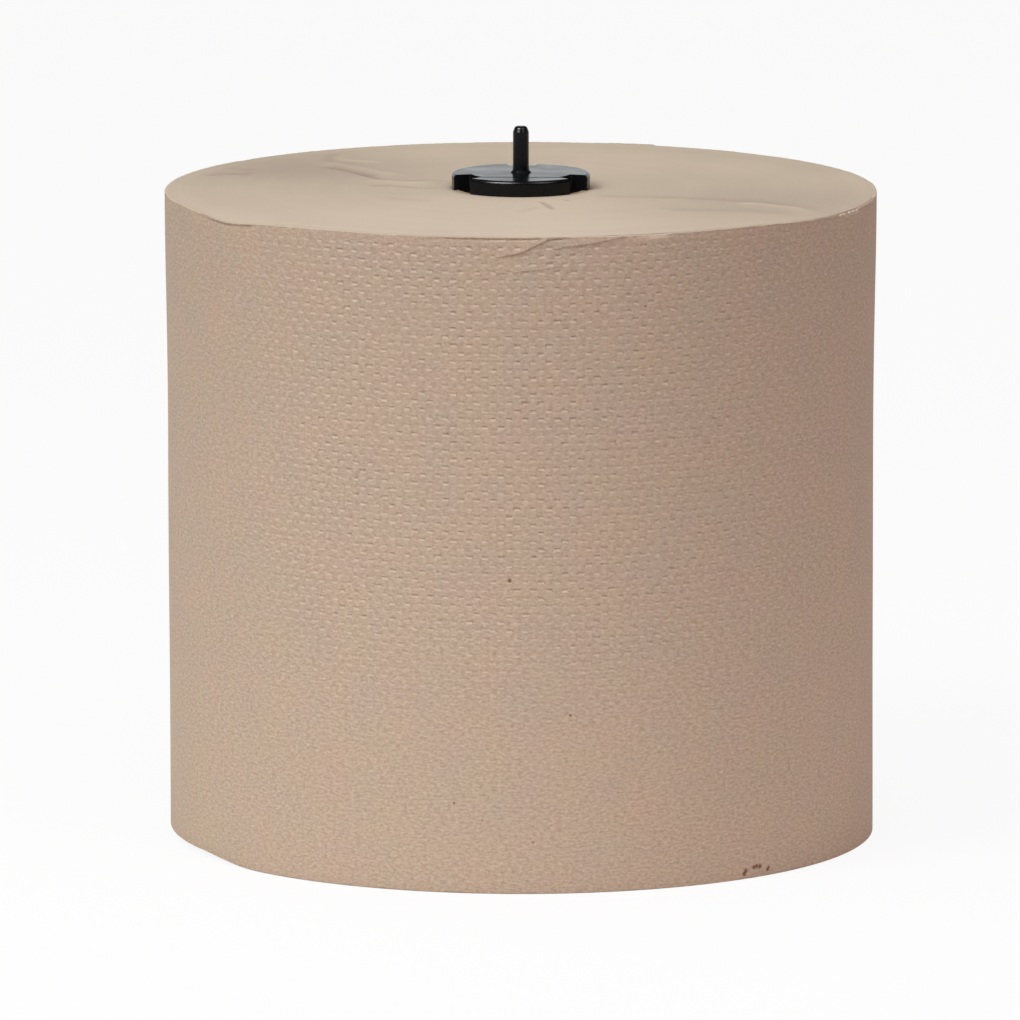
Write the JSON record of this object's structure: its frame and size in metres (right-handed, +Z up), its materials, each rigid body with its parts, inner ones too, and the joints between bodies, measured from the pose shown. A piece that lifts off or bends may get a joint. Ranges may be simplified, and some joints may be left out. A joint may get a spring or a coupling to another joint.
{
  "type": "paper towel roll",
  "caption": "Wide dispenser roll of embossed kraft paper towel, wound on a cardboard core with a black notched plug and spindle pressed into its upper end.",
  "frame": {"origin": "centre of the roll's lower end, on the surface that it stands on", "axes": "+Z up the roll's axis towards the plug and spindle; -Y is the front that the picture shows"},
  "size_m": [0.2127, 0.2129, 0.2144],
  "materials": {
    "towel_paper": "matte, embossed, unbleached",
    "core_board": "matte grey-brown board",
    "plug_plastic": "glossy black moulding"
  },
  "bodies": {
    "root": {"paper_roll": "towel_paper", "core_tube": "core_board", "end_plug": "plug_plastic"}
  },
  "joints": []
}
